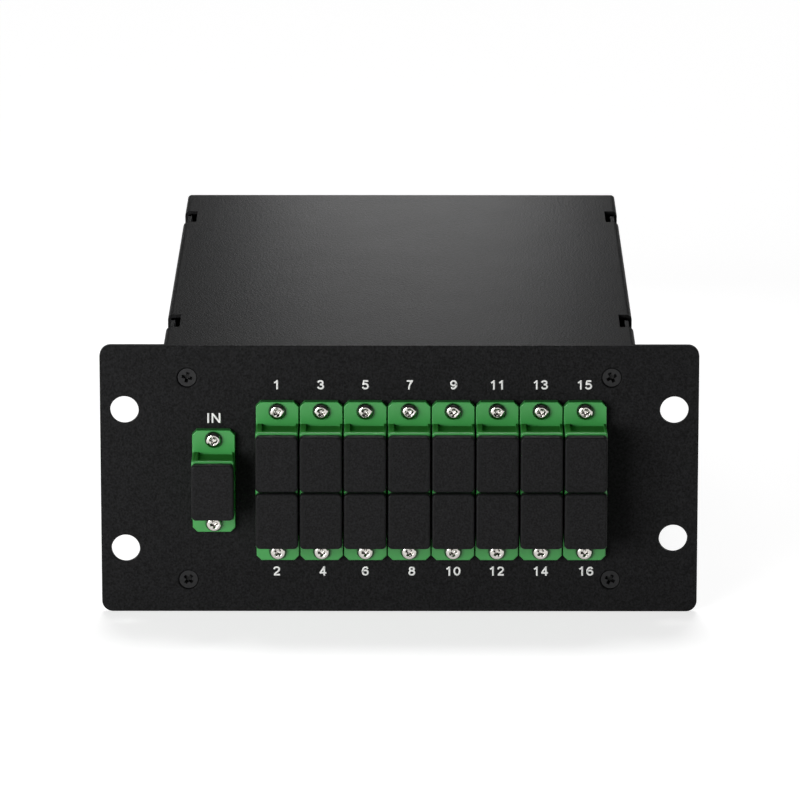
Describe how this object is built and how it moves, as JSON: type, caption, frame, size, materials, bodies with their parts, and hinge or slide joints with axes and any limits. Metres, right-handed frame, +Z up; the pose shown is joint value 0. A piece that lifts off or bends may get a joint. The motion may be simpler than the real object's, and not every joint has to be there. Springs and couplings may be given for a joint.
{
  "type": "plc fibre splitter",
  "caption": "Planar fibre splitter in a folded sheet case with a flanged front panel, an input port and rows of output ports in green adapters under pull-off dust caps.",
  "frame": {"origin": "bottom centre of the bounding box: the panel's lower edge, midway between the dust cap faces and the case's rear", "axes": "+X to the right seen from the front, +Y from the ports towards the rear of the case, +Z up"},
  "size_m": [0.13, 0.1788, 0.0597],
  "materials": {
    "powder_coat": "fine matt black powder coat",
    "black_screw": "black oxide",
    "nickel_screw": "bright nickel plate",
    "adapter_green": "satin moulded plastic",
    "cap_black": "matt moulded plastic",
    "connector_green": "satin moulded plastic",
    "fibre_jacket": "smooth tube",
    "clip_white": "moulded plastic",
    "module_metal": "satin",
    "boot_rubber": "matt"
  },
  "bodies": {
    "splitter": {"front_panel": "powder_coat", "base_tray": "powder_coat", "top_cover": "powder_coat", "panel_screws": "black_screw", "adapter_screws": "nickel_screw", "input_adapter": "adapter_green", "duplex_adapter_1": "adapter_green", "duplex_adapter_2": "adapter_green", "duplex_adapter_3": "adapter_green", "duplex_adapter_4": "adapter_green", "duplex_adapter_5": "adapter_green", "duplex_adapter_6": "adapter_green", "duplex_adapter_7": "adapter_green", "duplex_adapter_8": "adapter_green", "connector_in": "connector_green", "connector_1": "connector_green", "connector_2": "connector_green", "connector_3": "connector_green", "connector_4": "connector_green", "connector_5": "connector_green", "connector_6": "connector_green", "connector_7": "connector_green", "connector_8": "connector_green", "connector_9": "connector_green", "connector_10": "connector_green", "connector_11": "connector_green", "connector_12": "connector_green", "connector_13": "connector_green", "connector_14": "connector_green", "connector_15": "connector_green", "connector_16": "connector_green", "input_lead": "fibre_jacket", "output_leads": "fibre_jacket", "fibre_coil": "fibre_jacket", "fibre_clips": "clip_white", "plc_module": "module_metal", "module_boots": "boot_rubber"},
    "cap_in": {"dust_cap_in": "cap_black"},
    "cap_1": {"dust_cap_1": "cap_black"},
    "cap_2": {"dust_cap_2": "cap_black"},
    "cap_3": {"dust_cap_3": "cap_black"},
    "cap_4": {"dust_cap_4": "cap_black"},
    "cap_5": {"dust_cap_5": "cap_black"},
    "cap_6": {"dust_cap_6": "cap_black"},
    "cap_7": {"dust_cap_7": "cap_black"},
    "cap_8": {"dust_cap_8": "cap_black"},
    "cap_9": {"dust_cap_9": "cap_black"},
    "cap_10": {"dust_cap_10": "cap_black"},
    "cap_11": {"dust_cap_11": "cap_black"},
    "cap_12": {"dust_cap_12": "cap_black"},
    "cap_13": {"dust_cap_13": "cap_black"},
    "cap_14": {"dust_cap_14": "cap_black"},
    "cap_15": {"dust_cap_15": "cap_black"},
    "cap_16": {"dust_cap_16": "cap_black"}
  },
  "joints": [
    {"name": "cap_in_pull", "type": "slide", "parent": "splitter", "child": "cap_in", "axis": [0, -1, 0], "range_m": [0, 0.02]},
    {"name": "cap_1_pull", "type": "slide", "parent": "splitter", "child": "cap_1", "axis": [0, -1, 0], "range_m": [0, 0.02]},
    {"name": "cap_2_pull", "type": "slide", "parent": "splitter", "child": "cap_2", "axis": [0, -1, 0], "range_m": [0, 0.02]},
    {"name": "cap_3_pull", "type": "slide", "parent": "splitter", "child": "cap_3", "axis": [0, -1, 0], "range_m": [0, 0.02]},
    {"name": "cap_4_pull", "type": "slide", "parent": "splitter", "child": "cap_4", "axis": [0, -1, 0], "range_m": [0, 0.02]},
    {"name": "cap_5_pull", "type": "slide", "parent": "splitter", "child": "cap_5", "axis": [0, -1, 0], "range_m": [0, 0.02]},
    {"name": "cap_6_pull", "type": "slide", "parent": "splitter", "child": "cap_6", "axis": [0, -1, 0], "range_m": [0, 0.02]},
    {"name": "cap_7_pull", "type": "slide", "parent": "splitter", "child": "cap_7", "axis": [0, -1, 0], "range_m": [0, 0.02]},
    {"name": "cap_8_pull", "type": "slide", "parent": "splitter", "child": "cap_8", "axis": [0, -1, 0], "range_m": [0, 0.02]},
    {"name": "cap_9_pull", "type": "slide", "parent": "splitter", "child": "cap_9", "axis": [0, -1, 0], "range_m": [0, 0.02]},
    {"name": "cap_10_pull", "type": "slide", "parent": "splitter", "child": "cap_10", "axis": [0, -1, 0], "range_m": [0, 0.02]},
    {"name": "cap_11_pull", "type": "slide", "parent": "splitter", "child": "cap_11", "axis": [0, -1, 0], "range_m": [0, 0.02]},
    {"name": "cap_12_pull", "type": "slide", "parent": "splitter", "child": "cap_12", "axis": [0, -1, 0], "range_m": [0, 0.02]},
    {"name": "cap_13_pull", "type": "slide", "parent": "splitter", "child": "cap_13", "axis": [0, -1, 0], "range_m": [0, 0.02]},
    {"name": "cap_14_pull", "type": "slide", "parent": "splitter", "child": "cap_14", "axis": [0, -1, 0], "range_m": [0, 0.02]},
    {"name": "cap_15_pull", "type": "slide", "parent": "splitter", "child": "cap_15", "axis": [0, -1, 0], "range_m": [0, 0.02]},
    {"name": "cap_16_pull", "type": "slide", "parent": "splitter", "child": "cap_16", "axis": [0, -1, 0], "range_m": [0, 0.02]}
  ]
}
